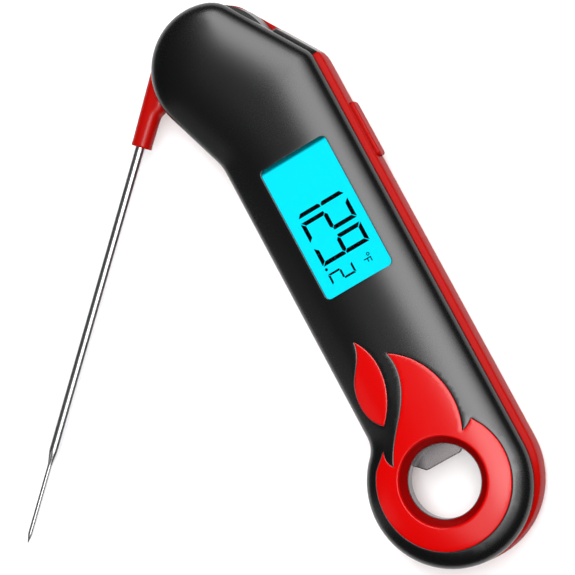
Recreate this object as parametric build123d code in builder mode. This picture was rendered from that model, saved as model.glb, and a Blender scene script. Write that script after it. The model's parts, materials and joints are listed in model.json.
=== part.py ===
from build123d import *
import os
from math import atan2, cos, degrees, radians, sin, sqrt

os.makedirs("parts", exist_ok=True)

# Folding digital meat thermometer, lying on its back, in millimetres.
# Origin: centre of the hanging hole, on the back plane. +Y to the head, +Z out of the front.
# The probe is drawn part open, as it is held for reading.

# ---- housing outline -------------------------------------------------------------
HEAD_X, HEAD_Y, HEAD_R = -2.9, 126.4, 17.9      # round head, and the probe's pivot
END_X, END_Y, END_R = 0.3, -0.9, 22.5           # round end with the hanging hole
SIDE_LEFT = -13.55
SIDE_RIGHT = END_X + END_R
SLOPE_RIGHT = 31.8                              # direction a shoulder faces, degrees
SLOPE_LEFT = 198.8
SLOPE_GAP_FRONT = 16.4                          # right shoulder's distance from the pivot
SLOPE_GAP_REAR = 17.4
BUMPER = 1.7                                    # rear cover stands out on the right
BUMPER_END_R = 23.1
SKIRT_LOW_Y, SKIRT_HIGH_Y = 116.0, 127.4        # ends of the black skirt beside the head
ARM_SWEEP_R = 19.1                              # clearance for the probe's arm when fully open
CORNER_R, WAIST_R, NECK_R, BROW_R = 6.0, 12.0, 7.0, 10.0

# ---- housing section -------------------------------------------------------------
SEAM_Z, FRONT_Z = 12.0, 18.0
BEVEL_Z = 1.0
FRONT_EDGE_R, BACK_EDGE_R = 5.0, 4.0
FLOOR_Z, ROOF_Z = 1.8, 16.2
WALL = 2.6
CAVITY_LOW_Y, CAVITY_HIGH_Y = 19.0, 106.0
SEAL_W, SEAL_T = 1.0, 0.6

# ---- hanging hole and bottle opener ------------------------------------------------
HOLE_R = 9.8
RIM_R, RIM_Z = 12.4, 15.2
RECESS_R, COLLAR_R = 13.5, 11.0
PLATE_Z, PLATE_T, PLATE_R, PLATE_HOLE_R = 10.0, 2.0, 17.3, 10.2
TAB = [(-9.0, 9.0), (-5.8, 6.9), (-3.8, 4.9), (6.3, 4.9), (12.0, 9.0), (0.0, 13.0)]
TAB_R = 0.8

# ---- flame inlays ------------------------------------------------------------------
INLAY_Z = 17.0
FLAME_R = 18.3

# ---- display -----------------------------------------------------------------------
WIN_X, WIN_Y, WIN_W, WIN_H, WIN_R = 5.95, 75.4, 20.4, 38.9, 1.5
LENS_LIP, LENS_TOP = 1.0, 17.0
LCD_TOP, LCD_T, BACKLIGHT_T = 15.6, 1.4, 1.5
FRAME_W, FRAME_H = 25.6, 44.6

# ---- electronics and battery ---------------------------------------------------------
PCB_Z, PCB_T = 8.0, 1.2
PCB_X0, PCB_X1, PCB_Y0, PCB_Y1 = -8.6, 19.0, 26.0, 101.0
CELL_X, CELL_Y, CELL_R, CELL_T, CELL_Z = 4.6, 39.5, 10.0, 3.2, 3.6
DOOR_R, DOOR_T, DOOR_GAP = 12.4, 1.7, 0.08
LUG_R, LUG_T, LUG_HALF = 13.7, 0.8, 14.0
DOOR_TURN = 60.0

# ---- screws --------------------------------------------------------------------------
SCREWS = [(-8.4, 21.6), (18.2, 21.6), (-9.0, 50.5), (19.4, 50.5), (-9.2, 104.4), (17.6, 107.6)]
BOSS_R, SCREW_R, SCREW_HEAD_R, SCREW_HEAD_T = 2.4, 1.1, 2.1, 1.4

# ---- button --------------------------------------------------------------------------
BUTTON_Y, BUTTON_Z, BUTTON_L, BUTTON_H = 92.0, 7.0, 16.2, 5.0
BUTTON_PROUD, BUTTON_GAP = 1.05, 0.15

# ---- probe ---------------------------------------------------------------------------
PROBE_OPEN = 46.55                              # degrees open from folded
HUB_R, HUB_LOW, HUB_HIGH, SLOT_LOW = 17.4, 4.8, 11.6, 4.4
HUB_GAP = 0.3
ARM_OFF, ARM_W, ARM_LEN, ARM_Z = 15.8, 5.6, 26.3, 8.2
BUSH_R, BUSH_GAP = 3.0, 0.05
TUBE_R, TUBE_IN, TIP_R, TIP_IN = 1.55, 1.15, 0.75, 0.5
PROBE_LEN, TIP_LEN, TAPER_LEN, POINT_LEN = 140.6, 22.8, 4.1, 2.9
TUBE_START = 12.0
TONGUE_T, TONGUE_IN_R = 3.0, 12.5                # tongue that keys the sleeve into the hub

SIDE_REAR = SIDE_RIGHT + BUMPER

# ---- small fits and places -----------------------------------------------------------
SCREW_HEAD_Z, SCREW_END_Z = 0.5, 15.4
RIM_STEP, RIM_BACKSET = 0.6, 0.2
TIP_GROOVE_X, TIP_GROOVE_Y, TIP_GROOVE_L = -17.5, 0.0, 32.0
TUBE_GROOVE_X, TUBE_GROOVE_Y, TUBE_GROOVE_L = -16.8, 12.0, 8.0
TIP_GROOVE_LOW, TIP_GROOVE_H = 6.4, 3.6
BUTTON_WALL, POCKET_DEPTH, POCKET_L, POCKET_H = 2.0, 2.4, 19.2, 7.8
FLANGE_X1, FLANGE_T = SIDE_REAR - 2.45, 0.8
SWITCH_X1, SWITCH_Z, PLUNGER_R, PLUNGER_OUT = 18.8, 6.6, 1.0, 1.7
GLASS_W, GLASS_H, BACKLIGHT_H, ZEBRA_OFF = 22.6, 42.0, 38.4, 20.2
CHIP_X, CHIP_Y = 1.0, 77.0
BOARD_PARTS = [(-6.5, 0), (6.5, 0), (6.5, 3.2), (6.5, -3.2), (0, 7.0), (3.0, 7.0), (-3.0, 7.0)]
HOLDER_Z, COIN_SLOT = 3.2, 0.9
MAGNETS = [(4.6, 64.0), (4.6, 94.0)]
BUSH_TOP, HINGE_HEAD_T, HINGE_SCREW_R = 14.0, 1.8, 1.5
LEAD_Z, LEAD_L = 7.4, 12.0
RING_OUT, RING_T = 4.4, 0.9
MAGNET_AT = (8.0, 6.0)


def meet(angle_a, dist_a, angle_b, dist_b):
    """Point where two lines cross, each given by its facing angle and distance from the head."""
    a, b = radians(angle_a), radians(angle_b)
    det = cos(a) * sin(b) - sin(a) * cos(b)
    x = (dist_a * sin(b) - dist_b * sin(a)) / det
    y = (cos(a) * dist_b - cos(b) * dist_a) / det
    return HEAD_X + x, HEAD_Y + y


def foot(angle, dist):
    """Point at a distance from the head's centre in a direction."""
    return HEAD_X + dist * cos(radians(angle)), HEAD_Y + dist * sin(radians(angle))


def bumper_end():
    """Right half of the rear cover's round end, which swells out of the front cover's."""
    low_y = END_Y - END_R
    center_x = SIDE_REAR - BUMPER_END_R
    with BuildSketch() as swell:
        with Locations((center_x, low_y + BUMPER_END_R)):
            Circle(BUMPER_END_R)
        with Locations((END_X, END_Y)):
            Rectangle(60, 60, align=(Align.MIN, Align.CENTER), mode=Mode.INTERSECT)
        with Locations((END_X, low_y)):
            Rectangle(center_x - END_X, END_R, align=(Align.MIN, Align.MIN))
    return swell.sketch


def body_outline(side, slope_gap, base_y=END_Y, swell=None):
    """Filled outline of a cover: round head, sloping shoulders, straight grip, round end."""
    shoulder = meet(0, side - HEAD_X, SLOPE_RIGHT, slope_gap)
    waist = meet(180, HEAD_X - SIDE_LEFT, SLOPE_LEFT, HEAD_R)
    brow_half = sqrt(HEAD_R**2 - slope_gap**2)
    slope_foot = foot(SLOPE_RIGHT, slope_gap)
    turn = radians(SLOPE_RIGHT)
    brow = (slope_foot[0] - brow_half * sin(turn), slope_foot[1] + brow_half * cos(turn))
    neck = (SIDE_LEFT, END_Y + sqrt(END_R**2 - (SIDE_LEFT - END_X) ** 2))
    with BuildSketch() as outline:
        with Locations((HEAD_X, HEAD_Y)):
            Circle(HEAD_R)
        with Locations(Location(slope_foot, (0, 0, SLOPE_RIGHT))):
            Rectangle(20, 60, align=(Align.MIN, Align.CENTER), mode=Mode.SUBTRACT)
        with BuildLine():
            Polyline(
                (side, base_y),
                shoulder,
                slope_foot,
                (HEAD_X, HEAD_Y),
                foot(SLOPE_LEFT, HEAD_R),
                waist,
                (SIDE_LEFT, base_y),
                (side, base_y),
            )
        make_face()
        with Locations((END_X, END_Y)):
            Circle(END_R)
        if swell:
            add(swell)
        for corner, radius in ((shoulder, CORNER_R), (waist, WAIST_R), (neck, NECK_R), (brow, BROW_R)):
            fillet(outline.vertices().sort_by_distance((*corner, 0))[0], radius)
    return outline.sketch


def lug_bar(radius, half_angle, turn):
    """Bar across the battery opening whose rounded ends are the door's two lugs."""
    with BuildSketch() as bar:
        with Locations((CELL_X, CELL_Y)):
            Rectangle(3 * radius, 2 * radius * sin(radians(half_angle)), rotation=turn)
            Circle(radius, mode=Mode.INTERSECT)
    return bar.sketch


FRONT_OUTLINE = body_outline(SIDE_RIGHT, SLOPE_GAP_FRONT)
REAR_OUTLINE = body_outline(SIDE_REAR, SLOPE_GAP_REAR, END_Y - END_R + BUMPER_END_R, bumper_end())

with BuildSketch() as cavity:
    add(FRONT_OUTLINE)
    offset(amount=-WALL, kind=Kind.ARC)
    with Locations((0, (CAVITY_LOW_Y + CAVITY_HIGH_Y) / 2)):
        Rectangle(80, CAVITY_HIGH_Y - CAVITY_LOW_Y, mode=Mode.INTERSECT)

with BuildSketch() as seal_track:
    add(cavity.sketch)
    offset(amount=SEAL_W, kind=Kind.ARC)

with BuildSketch() as head_slot:
    with Locations((HEAD_X, HEAD_Y)):
        Circle(HUB_R + HUB_GAP)
    with BuildLine():
        Polyline(
            (HEAD_X, HEAD_Y),
            (HEAD_X - 11.6, HEAD_Y),
            (HEAD_X - 11.6, 105.0),
            (HEAD_X - 30.0, 105.0),
            (HEAD_X - 30.0, HEAD_Y + 30.0),
            (HEAD_X + 30.0, HEAD_Y + 30.0),
            (HEAD_X + 30.0, SKIRT_HIGH_Y),
            (HEAD_X, SKIRT_HIGH_Y),
            (HEAD_X, HEAD_Y),
        )
    make_face()

with BuildSketch() as skirt_room:
    add(REAR_OUTLINE)
    with Locations((HEAD_X + 15, SKIRT_LOW_Y)):
        Rectangle(
            25, SKIRT_HIGH_Y - SKIRT_LOW_Y,
            align=(Align.MIN, Align.MIN), mode=Mode.INTERSECT,
        )

with BuildSketch() as skirt:
    add(skirt_room.sketch)
    with Locations((HEAD_X, HEAD_Y)):
        Circle(ARM_SWEEP_R, mode=Mode.SUBTRACT)

with BuildSketch() as flame:
    arc_start = (FLAME_R * cos(radians(27.0)), FLAME_R * sin(radians(27.0)))
    arc_end = (FLAME_R * cos(radians(144.3)), FLAME_R * sin(radians(144.3)))
    right_tip, right_notch, crest = (14.75, 10.9), (11.25, 9.1), (3.25, 36.2)
    left_notch, left_tip = (-9.75, 9.5), (-10.45, 14.4)
    with BuildLine():
        Spline(right_tip, (12.9, 9.6), right_notch)
        Spline(right_notch, (13.15, 19.5), (9.75, 29.9), crest)
        Spline(crest, (3.7, 31.5), (0.25, 22.9), (-5.25, 16.4), left_notch)
        Spline(left_notch, (-10.9, 12.0), left_tip)
        Spline(left_tip, (-12.3, 12.9), arc_end)
        ThreePointArc(arc_end, (0, -FLAME_R), arc_start)
        Line(arc_start, right_tip)
    make_face()

with BuildSketch() as leaf:
    leaf_top, leaf_foot = (-3.25, 43.1), (-6.95, 20.1)
    with BuildLine():
        Spline(leaf_top, (-0.4, 34.2), (-2.2, 26.5), leaf_foot)
        Spline(leaf_foot, (-10.35, 27.6), (-8.7, 33.6), (-5.3, 38.0), leaf_top)
    make_face()

with BuildSketch() as window:
    with Locations((WIN_X, WIN_Y)):
        RectangleRounded(WIN_W, WIN_H, WIN_R)

with BuildSketch() as lens_outline:
    with Locations((WIN_X, WIN_Y)):
        RectangleRounded(WIN_W + 2 * LENS_LIP, WIN_H + 2 * LENS_LIP, WIN_R)

# ---- outer forms of the two halves ---------------------------------------------------
with BuildPart() as front_form:
    with BuildSketch(Plane.XY.offset(SEAM_Z)):
        add(FRONT_OUTLINE)
    extrude(amount=FRONT_Z - SEAM_Z)
    fillet(front_form.faces().sort_by(Axis.Z)[-1].edges(), FRONT_EDGE_R)

with BuildPart() as rear_form:
    with BuildSketch():
        add(REAR_OUTLINE)
    extrude(amount=SEAM_Z - BEVEL_Z)
    with BuildSketch(Plane.XY.offset(SEAM_Z - BEVEL_Z)):
        add(REAR_OUTLINE)
    extrude(amount=BEVEL_Z, taper=degrees(atan2(BUMPER, BEVEL_Z)))
    with BuildSketch(Plane.XY.offset(BACK_EDGE_R)):
        add(FRONT_OUTLINE)
    extrude(amount=SEAM_Z - BACK_EDGE_R)
    fillet(rear_form.faces().sort_by(Axis.Z)[0].edges(), BACK_EDGE_R)

with BuildPart() as skirt_block:
    add(rear_form.part)
    with BuildSketch(Plane.XY.offset(SLOT_LOW)):
        add(skirt.sketch)
    extrude(amount=SEAM_Z - SLOT_LOW, mode=Mode.INTERSECT)

# ---- housing -------------------------------------------------------------------------
with BuildPart() as front_cover:
    add(front_form.part)
    add(skirt_block.part)
    with BuildSketch(Plane.XY.offset(SEAM_Z)):
        add(cavity.sketch)
    extrude(amount=ROOF_Z - SEAM_Z, mode=Mode.SUBTRACT)
    with BuildSketch(Plane.XY.offset(SEAM_Z)):
        with Locations(*SCREWS):
            Circle(BOSS_R)
    extrude(amount=ROOF_Z - SEAM_Z)
    with BuildSketch(Plane.XY.offset(SEAM_Z)):
        with Locations(*SCREWS):
            Circle(SCREW_R)
    extrude(amount=SCREW_END_Z - SEAM_Z, mode=Mode.SUBTRACT)
    with BuildSketch(Plane.XY.offset(ROOF_Z)):
        add(window.sketch)
    extrude(amount=FRONT_Z - ROOF_Z, mode=Mode.SUBTRACT)
    with BuildSketch(Plane.XY.offset(ROOF_Z)):
        add(lens_outline.sketch)
    extrude(amount=LENS_TOP - ROOF_Z, mode=Mode.SUBTRACT)
    with BuildSketch(Plane.XY.offset(INLAY_Z)):
        add(flame.sketch)
        add(leaf.sketch)
    extrude(amount=FRONT_Z - INLAY_Z, mode=Mode.SUBTRACT)
    with BuildSketch(Plane.XY.offset(SEAM_Z)):
        Circle(COLLAR_R)
    extrude(amount=RIM_Z - SEAM_Z, mode=Mode.SUBTRACT)
    with BuildSketch(Plane.XY.offset(RIM_Z)):
        Circle(RIM_R + RIM_STEP)
    extrude(amount=FRONT_Z - RIM_Z, mode=Mode.SUBTRACT)
    with BuildSketch(Plane.XY.offset(SEAM_Z)):
        with Locations((HEAD_X, HEAD_Y)):
            Circle(BUSH_R + BUSH_GAP)
    extrude(amount=BUSH_TOP - SEAM_Z, mode=Mode.SUBTRACT)

with BuildPart() as rear_cover:
    add(rear_form.part)
    with BuildSketch(Plane.XY.offset(SLOT_LOW)):
        add(skirt_room.sketch)
        add(head_slot.sketch)
    extrude(amount=SEAM_Z - SLOT_LOW, mode=Mode.SUBTRACT)
    with BuildSketch(Plane.XY.offset(FLOOR_Z)):
        add(cavity.sketch)
    extrude(amount=SEAM_Z - FLOOR_Z, mode=Mode.SUBTRACT)
    with BuildSketch():
        with Locations(*SCREWS):
            Circle(BOSS_R)
    extrude(amount=SEAM_Z)
    with BuildSketch():
        with Locations(*SCREWS):
            Circle(SCREW_R)
    extrude(amount=SEAM_Z, mode=Mode.SUBTRACT)
    with BuildSketch():
        with Locations(*SCREWS):
            Circle(SCREW_HEAD_R + 0.1)
    extrude(amount=SCREW_HEAD_Z + SCREW_HEAD_T, mode=Mode.SUBTRACT)
    with BuildSketch(Plane.XY.offset(SEAM_Z - SEAL_T)):
        add(seal_track.sketch)
        add(cavity.sketch, mode=Mode.SUBTRACT)
    extrude(amount=SEAL_T, mode=Mode.SUBTRACT)
    # hanging hole: wide recess from the back, seat for the opener plate
    with BuildSketch():
        Circle(RECESS_R)
    extrude(amount=SEAM_Z, mode=Mode.SUBTRACT)
    with BuildSketch(Plane.XY.offset(PLATE_Z)):
        Circle(PLATE_R)
    extrude(amount=PLATE_T, mode=Mode.SUBTRACT)
    # groove that takes the probe's point when it is folded
    with BuildSketch(Plane.XY.offset(TIP_GROOVE_LOW)):
        with Locations((TIP_GROOVE_X, TIP_GROOVE_Y)):
            Rectangle(12, TIP_GROOVE_L, align=(Align.MAX, Align.CENTER))
        with Locations((TUBE_GROOVE_X, TUBE_GROOVE_Y)):
            Rectangle(12, TUBE_GROOVE_L, align=(Align.MAX, Align.CENTER))
    extrude(amount=TIP_GROOVE_H, mode=Mode.SUBTRACT)
    # battery opening with two notches for the door's lugs
    with BuildSketch():
        with Locations((CELL_X, CELL_Y)):
            Circle(DOOR_R + DOOR_GAP)
    extrude(amount=FLOOR_Z, mode=Mode.SUBTRACT)
    with BuildSketch():
        add(lug_bar(LUG_R + 0.1, LUG_HALF + 1.5, DOOR_TURN))
    extrude(amount=FLOOR_Z, mode=Mode.SUBTRACT)
    # opening and inner pocket for the side button
    with Locations((SIDE_REAR - BUTTON_WALL, BUTTON_Y, BUTTON_Z)):
        Box(
            BUTTON_WALL, BUTTON_L + 2 * BUTTON_GAP, BUTTON_H + 2 * BUTTON_GAP,
            align=(Align.MIN, Align.CENTER, Align.CENTER), mode=Mode.SUBTRACT,
        )
        Box(
            POCKET_DEPTH, POCKET_L, POCKET_H,
            align=(Align.MAX, Align.CENTER, Align.CENTER), mode=Mode.SUBTRACT,
        )
    # hinge bush, screw head and the channel for the probe's leads
    with BuildSketch():
        with Locations((HEAD_X, HEAD_Y)):
            Circle(BUSH_R)
    extrude(amount=SLOT_LOW, mode=Mode.SUBTRACT)
    with Locations((HEAD_X, CAVITY_HIGH_Y - 1, LEAD_Z)):
        Box(3.0, 6.0, 2.2, align=(Align.CENTER, Align.MIN, Align.CENTER), mode=Mode.SUBTRACT)

with BuildPart() as housing_seal:
    with BuildSketch(Plane.XY.offset(SEAM_Z - SEAL_T)):
        add(seal_track.sketch)
        add(cavity.sketch, mode=Mode.SUBTRACT)
        with Locations(*SCREWS):
            Circle(BOSS_R, mode=Mode.SUBTRACT)
    extrude(amount=SEAL_T)

with BuildPart() as case_screws:
    with BuildSketch(Plane.XY.offset(SCREW_HEAD_Z)):
        with Locations(*SCREWS):
            Circle(SCREW_HEAD_R)
    extrude(amount=SCREW_HEAD_T)
    with BuildSketch(Plane.XY.offset(SCREW_HEAD_Z + SCREW_HEAD_T)):
        with Locations(*SCREWS):
            Circle(SCREW_R)
    extrude(amount=SCREW_END_Z - SCREW_HEAD_Z - SCREW_HEAD_T)
    with Locations(*[(x, y, SCREW_HEAD_Z) for x, y in SCREWS]):
        Box(2.6, 0.6, 1.4, mode=Mode.SUBTRACT)
        Box(0.6, 2.6, 1.4, mode=Mode.SUBTRACT)

# ---- flame inlays and bottle opener ----------------------------------------------------
with BuildPart() as flame_inlay:
    add(front_form.part)
    with BuildSketch(Plane.XY.offset(INLAY_Z)):
        add(flame.sketch)
    extrude(amount=FRONT_Z - INLAY_Z, mode=Mode.INTERSECT)
    with BuildSketch(Plane.XY.offset(RIM_Z)):
        Circle(RIM_R + RIM_STEP)
    extrude(amount=INLAY_Z - RIM_Z)
    with BuildSketch(Plane.XY.offset(RIM_Z)):
        Circle(HOLE_R + RIM_BACKSET)
    extrude(amount=FRONT_Z - RIM_Z, mode=Mode.SUBTRACT)
    rim_edge = flame_inlay.edges().filter_by(GeomType.CIRCLE).filter_by(
        lambda e: abs(e.radius - HOLE_R - RIM_BACKSET) < 0.01
    ).sort_by(Axis.Z)[-1]
    fillet(rim_edge, RIM_R - HOLE_R - RIM_BACKSET)

with BuildPart() as flame_leaf:
    with BuildSketch(Plane.XY.offset(INLAY_Z)):
        add(leaf.sketch)
    extrude(amount=FRONT_Z - INLAY_Z)

with BuildPart() as opener_plate:
    with BuildSketch(Plane.XY.offset(PLATE_Z)) as plate_face:
        Circle(PLATE_R)
        Circle(PLATE_HOLE_R, mode=Mode.SUBTRACT)
        with BuildLine():
            Polyline(*TAB, TAB[0])
        make_face()
        for corner in TAB[2:4]:
            fillet(plate_face.vertices().sort_by_distance((*corner, PLATE_Z))[0], TAB_R)
    extrude(amount=PLATE_T)

with BuildPart() as hole_collar:
    with BuildSketch(Plane.XY.offset(SEAM_Z)):
        Circle(COLLAR_R)
        Circle(HOLE_R, mode=Mode.SUBTRACT)
    extrude(amount=RIM_Z - SEAM_Z)

# ---- display -----------------------------------------------------------------------------
with BuildPart() as display_lens:
    with BuildSketch(Plane.XY.offset(ROOF_Z)):
        add(lens_outline.sketch)
    extrude(amount=LENS_TOP - ROOF_Z)

with BuildPart() as lcd_glass:
    with Locations((WIN_X, WIN_Y, LCD_TOP)):
        Box(GLASS_W, GLASS_H, LCD_T, align=(Align.CENTER, Align.CENTER, Align.MAX))

with BuildPart() as lcd_backlight:
    with Locations((WIN_X, WIN_Y, LCD_TOP - LCD_T)):
        Box(
            GLASS_W - 0.6, BACKLIGHT_H, BACKLIGHT_T,
            align=(Align.CENTER, Align.CENTER, Align.MAX),
        )

with BuildPart() as lcd_frame:
    with BuildSketch(Plane.XY.offset(PCB_Z + PCB_T)):
        with Locations((WIN_X, WIN_Y)):
            RectangleRounded(FRAME_W, FRAME_H, 1.0)
            Rectangle(GLASS_W + 0.2, GLASS_H + 0.2, mode=Mode.SUBTRACT)
    extrude(amount=LCD_TOP - PCB_Z - PCB_T)

with BuildPart() as zebra_strips:
    strip_t = LCD_TOP - LCD_T - PCB_Z - PCB_T
    with Locations((WIN_X, WIN_Y - ZEBRA_OFF, PCB_Z + PCB_T), (WIN_X, WIN_Y + ZEBRA_OFF, PCB_Z + PCB_T)):
        Box(18.0, 1.4, strip_t, align=(Align.CENTER, Align.CENTER, Align.MIN))

# ---- circuit board and what it carries ------------------------------------------------------
with BuildPart() as circuit_board:
    with BuildSketch(Plane.XY.offset(PCB_Z)):
        with Locations(((PCB_X0 + PCB_X1) / 2, (PCB_Y0 + PCB_Y1) / 2)):
            RectangleRounded(PCB_X1 - PCB_X0, PCB_Y1 - PCB_Y0, 1.0)
        with Locations(*SCREWS):
            Circle(BOSS_R + 0.3, mode=Mode.SUBTRACT)
    extrude(amount=PCB_T)

with BuildPart() as controller_chip:
    with Locations((CHIP_X, CHIP_Y, PCB_Z)):
        Box(7.0, 7.0, 1.4, align=(Align.CENTER, Align.CENTER, Align.MAX))

with BuildPart() as board_parts:
    with Locations(*[(CHIP_X + dx, CHIP_Y + dy, PCB_Z) for dx, dy in BOARD_PARTS]):
        Box(1.0, 2.0, 0.6, align=(Align.CENTER, Align.CENTER, Align.MAX))

with BuildPart() as wake_sensor:
    with Locations((HEAD_X + 5.0, PCB_Y1 - 2.0, PCB_Z)):
        Box(3.0, 2.0, 1.0, align=(Align.CENTER, Align.CENTER, Align.MAX))

with BuildPart() as tact_switch:
    with Locations((SWITCH_X1, BUTTON_Y, PCB_Z)):
        Box(3.6, 6.6, 2.8, align=(Align.MAX, Align.CENTER, Align.MAX))
    with BuildSketch(Plane.YZ.offset(SWITCH_X1)):
        with Locations((BUTTON_Y, SWITCH_Z)):
            Circle(PLUNGER_R + 0.05)
    extrude(amount=-2.4, mode=Mode.SUBTRACT)

with BuildPart() as switch_plunger:
    with BuildSketch(Plane.YZ.offset(SWITCH_X1 - 1.2)):
        with Locations((BUTTON_Y, SWITCH_Z)):
            Circle(PLUNGER_R)
    extrude(amount=1.2 + PLUNGER_OUT)

with BuildPart() as side_button:
    face_x = SIDE_REAR + BUTTON_PROUD
    with Locations((face_x, BUTTON_Y, BUTTON_Z)):
        Box(
            BUTTON_PROUD + BUTTON_WALL, BUTTON_L, BUTTON_H,
            align=(Align.MAX, Align.CENTER, Align.CENTER),
        )
    fillet(side_button.edges().filter_by(Axis.X), 1.2)
    fillet(side_button.faces().sort_by(Axis.X)[-1].edges(), 0.5)
    with Locations((FLANGE_X1, BUTTON_Y, BUTTON_Z)):
        Box(
            FLANGE_T, POCKET_L - 0.8, POCKET_H - 0.8,
            align=(Align.MAX, Align.CENTER, Align.CENTER),
        )
        Box(
            SIDE_REAR - BUTTON_WALL - FLANGE_X1, BUTTON_L, BUTTON_H,
            align=(Align.MIN, Align.CENTER, Align.CENTER),
        )
    stem_x0 = SWITCH_X1 + PLUNGER_OUT
    with BuildSketch(Plane.YZ.offset(stem_x0)):
        with Locations((BUTTON_Y, SWITCH_Z)):
            Circle(1.4)
    extrude(amount=FLANGE_X1 - FLANGE_T - stem_x0)

with BuildPart() as button_seal:
    with Locations((SIDE_REAR - BUTTON_WALL, BUTTON_Y, BUTTON_Z)):
        Box(0.4, POCKET_L, POCKET_H, align=(Align.MAX, Align.CENTER, Align.CENTER))
        Box(
            0.4, BUTTON_L + 2 * BUTTON_GAP, BUTTON_H + 2 * BUTTON_GAP,
            align=(Align.MAX, Align.CENTER, Align.CENTER), mode=Mode.SUBTRACT,
        )

# ---- battery, its holder, contacts and door ---------------------------------------------------
with BuildPart() as battery_holder:
    with BuildSketch(Plane.XY.offset(HOLDER_Z)):
        with Locations((CELL_X, CELL_Y)):
            Circle(CELL_R + 2.0)
            Circle(CELL_R + 0.4, mode=Mode.SUBTRACT)
    extrude(amount=PCB_Z - HOLDER_Z)

with BuildPart() as coin_cell:
    with BuildSketch(Plane.XY.offset(CELL_Z)):
        with Locations((CELL_X, CELL_Y)):
            Circle(CELL_R)
    extrude(amount=CELL_T)
    fillet(coin_cell.edges().filter_by(GeomType.CIRCLE), 0.3)

with BuildPart() as contact_plus:
    with BuildSketch(Plane.XY.offset(CELL_Z + 0.4)):
        with Locations((CELL_X, CELL_Y)):
            Circle(CELL_R + 0.35)
            Circle(CELL_R + 0.05, mode=Mode.SUBTRACT)
        with Locations((CELL_X, CELL_Y + CELL_R)):
            Rectangle(8, 8, mode=Mode.INTERSECT)
    extrude(amount=PCB_Z - CELL_Z - 0.4)

with BuildPart() as contact_minus:
    with Locations((CELL_X, CELL_Y, CELL_Z + CELL_T)):
        Box(12, 3, 0.3, align=(Align.CENTER, Align.CENTER, Align.MIN))
    with Locations((CELL_X - 5, CELL_Y, CELL_Z + CELL_T + 0.3)):
        Box(2, 3, PCB_Z - CELL_Z - CELL_T - 0.3, align=(Align.CENTER, Align.CENTER, Align.MIN))

with BuildPart() as battery_door:
    with BuildSketch(Plane.XY.offset(FLOOR_Z - DOOR_T)):
        with Locations((CELL_X, CELL_Y)):
            Circle(DOOR_R)
    extrude(amount=DOOR_T)
    with BuildSketch(Plane.XY.offset(FLOOR_Z)):
        with Locations((CELL_X, CELL_Y)):
            Circle(DOOR_R - 0.9)
    extrude(amount=LUG_T + 0.05)
    with BuildSketch(Plane.XY.offset(FLOOR_Z + 0.05)):
        add(lug_bar(LUG_R, LUG_HALF, 0.0))
    extrude(amount=LUG_T)
    with Locations((CELL_X, CELL_Y, FLOOR_Z - DOOR_T)):
        Box(14, 1.8, 2 * COIN_SLOT, mode=Mode.SUBTRACT)

with BuildPart() as door_seal:
    with BuildSketch(Plane.XY.offset(FLOOR_Z + 0.05 + LUG_T)):
        with Locations((CELL_X, CELL_Y)):
            Circle(CELL_R + 1.6)
            Circle(CELL_R + 0.6, mode=Mode.SUBTRACT)
    extrude(amount=HOLDER_Z - FLOOR_Z - LUG_T - 0.1)

with BuildPart() as back_magnets:
    with BuildSketch(Plane.XY.offset(FLOOR_Z)):
        with Locations(*MAGNETS):
            Circle(5)
    extrude(amount=2)

# ---- hinge -----------------------------------------------------------------------------------
with BuildPart() as hinge_bush:
    with BuildSketch(Plane.XY.offset(HINGE_HEAD_T)):
        with Locations((HEAD_X, HEAD_Y)):
            Circle(BUSH_R)
            Circle(HINGE_SCREW_R, mode=Mode.SUBTRACT)
    extrude(amount=BUSH_TOP - HINGE_HEAD_T)

with BuildPart() as hinge_screw:
    with BuildSketch(Plane.XY.offset(0.4)):
        with Locations((HEAD_X, HEAD_Y)):
            Circle(BUSH_R - 0.1)
    extrude(amount=HINGE_HEAD_T - 0.4)
    with BuildSketch(Plane.XY.offset(HINGE_HEAD_T)):
        with Locations((HEAD_X, HEAD_Y)):
            Circle(HINGE_SCREW_R)
    extrude(amount=BUSH_TOP - HINGE_HEAD_T - 0.5)
    with Locations((HEAD_X, HEAD_Y, 0.4)):
        Box(4.0, 0.8, 1.6, mode=Mode.SUBTRACT)
        Box(0.8, 4.0, 1.6, mode=Mode.SUBTRACT)

with BuildPart() as friction_washer:
    with BuildSketch(Plane.XY.offset(SLOT_LOW)):
        with Locations((HEAD_X, HEAD_Y)):
            Circle(9.0)
            Circle(BUSH_R + 0.1, mode=Mode.SUBTRACT)
    extrude(amount=HUB_LOW - SLOT_LOW - BUSH_GAP)

with BuildPart() as spring_washer:
    with BuildSketch(Plane.XY.offset(HUB_HIGH + BUSH_GAP)):
        with Locations((HEAD_X, HEAD_Y)):
            Circle(7.0)
            Circle(BUSH_R + 0.1, mode=Mode.SUBTRACT)
    extrude(amount=SEAM_Z - HUB_HIGH - BUSH_GAP)

with BuildPart() as board_leads:
    for side_x in (-0.7, 0.7):
        with Locations(Location((HEAD_X + side_x, PCB_Y1 - 5.0, LEAD_Z), (-90, 0, 0))):
            Cylinder(0.35, LEAD_L, align=(Align.CENTER, Align.CENTER, Align.MIN))

# ---- probe, drawn along its own axis: local X runs from the hub towards the point ---------------
PROBE_TURN = -90.0 - PROBE_OPEN
HUB_PLANE = Plane(
    origin=(HEAD_X, HEAD_Y, 0),
    x_dir=(cos(radians(PROBE_TURN)), sin(radians(PROBE_TURN)), 0),
    z_dir=(0, 0, 1),
)
TUBE_PLANE = Plane(
    origin=HUB_PLANE.from_local_coords((TUBE_START, -ARM_OFF, ARM_Z)),
    x_dir=(0, 0, 1),
    z_dir=HUB_PLANE.x_dir,
)

PROFILE_PLANE = Plane(
    origin=TUBE_PLANE.origin,
    x_dir=(0, 0, 1),
    z_dir=Vector(0, 0, 1).cross(HUB_PLANE.x_dir),
)

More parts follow.
